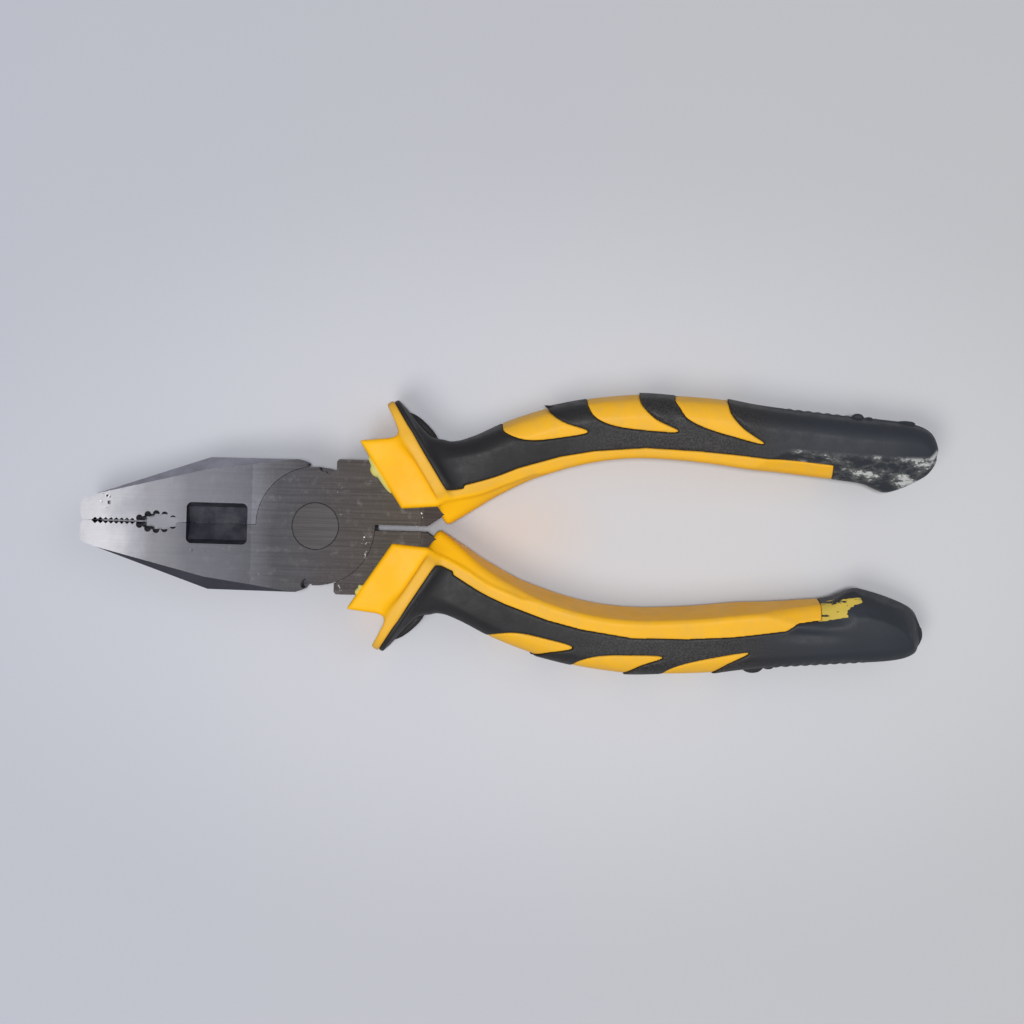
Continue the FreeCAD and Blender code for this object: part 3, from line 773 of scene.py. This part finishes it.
def core_plastic():
    """Satin yellow moulding, rubbed paler along its ridges, with a painted sheen on the guard's rim and the
    raised band, and faint grime.
    """
    n = Nodes("core_plastic")
    cloud = n.noise(70.0, 4.0)
    base = n.mix(n.ramp(cloud, 0.3, 0.7), (0.91, 0.445, 0.006), (0.95, 0.485, 0.008))
    x = n.split(n.place)[0]
    patches = n.ramp(n.noise(320.0, 5.0), 0.35, 0.75, 0.42, 0.88)
    rubbed_and_sheen = n.product(n.ramp(x, 0.032, 0.050), patches)
    # the rim mark paints the guard's rim and the raised band paler: partly rubbed wear, partly a painted
    # sheen
    rubbed_and_sheen = n.math("MAXIMUM", rubbed_and_sheen, n.product(n.mark("rim"), 0.8))
    base = n.mix(rubbed_and_sheen, base, (0.77, 0.425, 0.052))
    grime = n.ramp(n.noise(480.0, 6.0, 0.7), 0.60, 0.78, 0.0, 0.35)
    base = n.mix(grime, base, (0.50, 0.30, 0.07))
    base = n.mix(n.mark("flash"), base, (0.56, 0.52, 0.15))
    n.bump(n.noise(900.0, 3.0), 0.18, 0.0001)
    return n.finish(base, n.ramp(n.noise(200.0, 4.0), 0.3, 0.7, 0.38, 0.50), specular=0.12)


def soft_rubber(name):
    """Matt black overmould with fine grain, dusty below the pads, scuffed white under the tail's crease."""
    n = Nodes(name)
    cloud = n.noise(55.0, 4.0)
    x = n.split(n.place)[0]
    fresh = n.mix(n.ramp(cloud, 0.3, 0.7), (0.0140, 0.0130, 0.0140), (0.0205, 0.0195, 0.0205))
    base = n.mix(n.ramp(x, 0.095, 0.120), fresh, (0.026, 0.030, 0.037))
    grain = n.noise(1500.0, 3.0, 0.6)
    fibres = n.noise(300.0, 5.0, 0.7)

    dust = n.ramp(n.noise(2600.0, 3.0, 0.7), 0.40, 0.62)
    dusty = n.product(n.ramp(x, 0.052, 0.075), n.ramp(x, 0.115, 0.092), dust)
    base = n.mix(n.product(dusty, 0.27), base, (0.13, 0.122, 0.112))

    flakes = n.noise(230.0, 7.0, 0.72, n.stretched((0.6, 1.0, 1.0), 8.0))
    scuffed = n.mark("scuff")
    dull = n.product(scuffed, n.ramp(flakes, 0.42, 0.54))
    base = n.mix(n.product(dull, 0.7), base, (0.12, 0.125, 0.12))
    bright = n.product(scuffed, n.ramp(flakes, 0.53, 0.585))
    base = n.mix(n.product(bright, 0.9), base, (0.56, 0.57, 0.55))

    streaks = n.noise(420.0, 4.0, 0.66, n.stretched((0.35, 1.7, 1.7), 12.0))
    smeared = n.mark("smear")
    torn = n.math("ADD", smeared, n.product(n.math("SUBTRACT", streaks, 0.51), 3.4))
    smear = n.product(n.ramp(torn, 0.55, 0.66), n.ramp(smeared, 0.02, 0.15))
    base = n.mix(smear, base, (0.60, 0.44, 0.07))

    relief = n.math("ADD", n.product(grain, 0.35), n.product(fibres, 0.35))
    relief = n.math("ADD", relief, n.product(flakes, scuffed, 3.5))
    relief = n.math("ADD", relief, smear)
    n.bump(relief, 0.5, 0.00018)
    return n.finish(base, n.ramp(fibres, 0.3, 0.7, 0.48, 0.62), specular=0.3)


def floor_paper():
    """Smooth pale board, bluer on one side, with a painted warm bounce light at the grips and a painted
    pool of light that leaves it darker away from the tool.
    """
    n = Nodes("floor_paper")
    x = n.split(n.place)[0]
    base = n.mix(n.ramp(x, -0.35, 0.35), (0.545, 0.565, 0.650), (0.60, 0.60, 0.595))
    base = n.mix(n.ramp(n.noise(6.0, 3.0), 0.3, 0.7, 0.0, 0.06), base, (0.50, 0.50, 0.54))
    # painted pool of light: the board is darkened away from the tool
    light_pool_distance = n.distance((0.060, -0.004), (0.55, 1.0))
    base = n.mix(n.ramp(light_pool_distance, 0.030, 0.105, 0.0, 0.85), base, (0.82, 0.82, 0.83), "MULTIPLY")
    # painted warm bounce light from the yellow grips onto the board
    painted_bounce_share = n.ramp(n.distance((0.050, 0.0), (1.0, 1.6)), 0.024, 0.002, 0.0, 0.55)
    base = n.mix(painted_bounce_share, base, (0.64, 0.55, 0.49))
    n.bump(n.noise(400.0, 3.0), 0.05, 0.0002)
    return n.finish(base, 0.75)


# ---------------------------------------------------------------- pieces
def dress_steel():
    """New materials on the forgings and the rivet."""
    looks = {
        # the upper jaw's bevels are given a lighter colour than the lower's: a painted reflection of the
        # light side
        "front_lap_lever": steel("lower_jaw_steel_shaded_bevels", (0.066, 0.067, 0.084), 0.96),
        "back_lap_lever": steel("upper_jaw_steel_reflecting_bevels", (0.34, 0.34, 0.39), 1.36),
        "pivot_rivet": rivet_steel(),
    }
    for node, material in looks.items():
        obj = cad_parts[node]
        obj.data.materials.clear()
        obj.data.materials.append(material)


def build_grips():
    """The two-shot mouldings of both handles, in place of the plain ones."""
    grip = Grip()
    yellow = core_plastic()
    for name, body, lower, flash, lip in (
        ("upper", "front_half", False, UPPER_FLASH, UPPER_LIP),
        ("lower", "back_half", True, LOWER_FLASH, LOWER_LIP),
    ):
        rubber = soft_rubber(name + "_soft_rubber")
        for part, field, material, slot in (
            ("grip_core", grip.with_lip(lip), yellow, "core_plastic"),
            ("grip_overmould", grip.with_flash(flash), rubber, "soft_rubber"),
        ):
            vertices, faces = surface_net(field, grip.low, VOXEL)
            piece = mesh_object(f"{name}_{part}_moulded", set_in_place(vertices, lower), faces, material)
            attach(piece, body)
            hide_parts(f"{name}_{part}")
            mark_wear_and_sheen(piece, vertices, lower)


def mark_wear_and_sheen(piece, vertices, lower):
    """Point attributes that the materials read: rubbed ridges with a painted sheen, the scuffed tail and
    the yellow smear.
    """
    x, y, z = vertices.T
    flat_y, height = unroll(x, y, z)
    s, t = along_sleeve(x, y)
    web = np.interp(x, *np.array(WEB_EDGE, float).T)
    # rim and band: where the yellow is painted paler, partly rubbed wear and partly a painted sheen
    rim = smooth_step(np.abs(s + 0.9), 1.9, 1.1) * smooth_step(t, -7.0, -5.0)
    band = smooth_step(flat_y - web, 0.0, 1.0) * smooth_step(s, -0.5, 0.8) * smooth_step(x, 60, 40)
    crease = np.interp(x, *np.array(FRONT_CREASE, float).T)
    scuff = smooth_step(crease - flat_y, -0.9, 0.4) * smooth_step(x, 98, 110) * smooth_step(height, 0, 3)
    lip = smooth_step(along_lip(x - COLLAR_OUTLINE[0][0], y - COLLAR_OUTLINE[0][1])[1], -0.1, 0.15)
    lip = lip * smooth_step(s, -5.0, -6.0)
    plan = Plan((110.0, 5.0), (140.0, 25.0), PLAN_STEP)
    smear = smooth_step(plan.reader(x, flat_y)(plan.distance(np.array(SMEAR_OUTLINE))), 0.5, -0.5)
    smear = smear * smooth_step(-height, -1.0, 1.0) * (1.0 if lower else 0.0)
    for name, values in (
        ("rim", np.maximum(rim, band)), ("scuff", scuff * (not lower)), ("smear", smear), ("flash", lip),
    ):
        attribute = piece.data.attributes.new(name, "FLOAT", "POINT")
        attribute.data.foreach_set("value", np.ascontiguousarray(values, np.float32))


# the view: the middle of the picture, the camera's height above it, the width seen there, and the turn
VIEW_MIDDLE = (46.1, 4.6)
VIEW_DISTANCE = 450.0
VIEW_WIDTH = 243.8
VIEW_TURN = 1.6
FLOOR_HALF = 3.0              # metres
FLOOR_GAP = 0.6               # below the plain grips, because the finer ones reach a little lower


def build_stage():
    """Pale floor, soft lights and the camera looking straight down."""
    lowest = CAD_BOX[0][2]
    corners = FLOOR_HALF * np.array([(-1, -1, 0), (1, -1, 0), (1, 1, 0), (-1, 1, 0)], float)
    floor = mesh_object("floor", corners, np.array([[0, 1, 2, 3]]), floor_paper())
    floor.location.z = lowest - FLOOR_GAP * MM

    middle = Vector((*VIEW_MIDDLE, MID_Z)) * MM
    for name, place, size, power, colour in (
        ("key", (-0.30, -0.40, 1.05), 0.55, 4.6, (1.0, 0.985, 0.96)),
        ("fill", (0.75, 0.30, 1.00), 0.90, 1.6, (0.95, 0.97, 1.0)),
        ("top", (0.0, 0.0, 1.40), 0.16, 9.5, (0.99, 0.99, 1.0)),
    ):
        lamp = bpy.data.lights.new(name, "AREA")
        lamp.shape = "DISK"
        lamp.size = size
        lamp.energy = power
        lamp.color = colour
        obj = bpy.data.objects.new(name, lamp)
        obj.location = middle + Vector(place)
        obj.rotation_euler = (-Vector(place)).to_track_quat("-Z", "Y").to_euler()
        bpy.context.scene.collection.objects.link(obj)

    world = bpy.data.worlds.new("studio")
    world.use_nodes = True
    sky = world.node_tree.nodes["Background"]
    sky.inputs["Color"].default_value = (0.88, 0.91, 1.0, 1)
    sky.inputs["Strength"].default_value = 0.26
    bpy.context.scene.world = world

    camera = bpy.data.cameras.new("camera")
    camera.lens = camera.sensor_width * VIEW_DISTANCE / VIEW_WIDTH
    obj = bpy.data.objects.new("camera", camera)
    obj.location = middle + Vector((0, 0, VIEW_DISTANCE * MM))
    obj.rotation_euler = (0, 0, math.radians(VIEW_TURN))
    bpy.context.scene.collection.objects.link(obj)
    bpy.context.scene.camera = obj
    bpy.context.scene.view_settings.view_transform = "Standard"


dress_steel()
build_grips()
build_stage()
